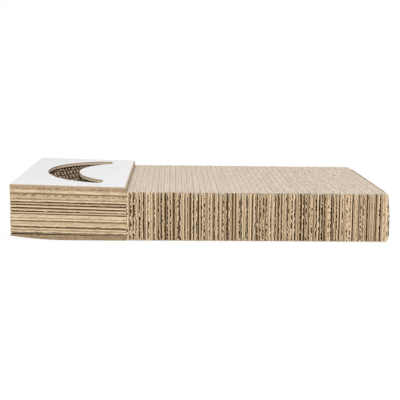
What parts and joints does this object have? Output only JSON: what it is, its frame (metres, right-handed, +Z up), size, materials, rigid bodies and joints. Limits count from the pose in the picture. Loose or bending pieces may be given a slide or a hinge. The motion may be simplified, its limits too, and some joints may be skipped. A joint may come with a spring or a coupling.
{
  "type": "cardboard cat scratcher",
  "caption": "Flat floor scratcher of corrugated card: a long pad of upright end-grain strips glued to a block of flat layers with a white cover and a crescent window.",
  "frame": {"origin": "on the floor, under the middle of the whole scratcher", "axes": "+X along the scratcher, from the white-covered block to the free end of the pad; +Y to the back; +Z up"},
  "size_m": [0.4794, 0.215, 0.0717],
  "materials": {
    "kraft_strips": "matte",
    "kraft_layers": "matte",
    "kraft_core": "matte",
    "kraft_cover": "matte",
    "white_face": "matte"
  },
  "bodies": {
    "root": {"block_base": "kraft_layers", "core_strips": "kraft_core", "cover_board": "kraft_cover", "cover_face": "white_face", "frame_layer_1": "kraft_layers", "frame_layer_2": "kraft_layers", "frame_layer_3": "kraft_layers", "frame_layer_4": "kraft_layers", "frame_layer_5": "kraft_layers", "frame_layer_6": "kraft_layers", "frame_layer_7": "kraft_layers", "pad_strip_01": "kraft_strips", "pad_strip_02": "kraft_strips", "pad_strip_03": "kraft_strips", "pad_strip_04": "kraft_strips", "pad_strip_05": "kraft_strips", "pad_strip_06": "kraft_strips", "pad_strip_07": "kraft_strips", "pad_strip_08": "kraft_strips", "pad_strip_09": "kraft_strips", "pad_strip_10": "kraft_strips", "pad_strip_11": "kraft_strips", "pad_strip_12": "kraft_strips", "pad_strip_13": "kraft_strips", "pad_strip_14": "kraft_strips", "pad_strip_15": "kraft_strips", "pad_strip_16": "kraft_strips", "pad_strip_17": "kraft_strips", "pad_strip_18": "kraft_strips", "pad_strip_19": "kraft_strips", "pad_strip_20": "kraft_strips", "pad_strip_21": "kraft_strips", "pad_strip_22": "kraft_strips", "pad_strip_23": "kraft_strips", "pad_strip_24": "kraft_strips", "pad_strip_25": "kraft_strips", "pad_strip_26": "kraft_strips", "pad_strip_27": "kraft_strips", "pad_strip_28": "kraft_strips", "pad_strip_29": "kraft_strips", "pad_strip_30": "kraft_strips", "pad_strip_31": "kraft_strips", "pad_strip_32": "kraft_strips", "pad_strip_33": "kraft_strips", "pad_strip_34": "kraft_strips", "pad_strip_35": "kraft_strips", "pad_strip_36": "kraft_strips", "pad_strip_37": "kraft_strips", "pad_strip_38": "kraft_strips", "pad_strip_39": "kraft_strips", "pad_strip_40": "kraft_strips", "pad_strip_41": "kraft_strips", "pad_strip_42": "kraft_strips", "pad_strip_43": "kraft_strips"}
  },
  "joints": []
}
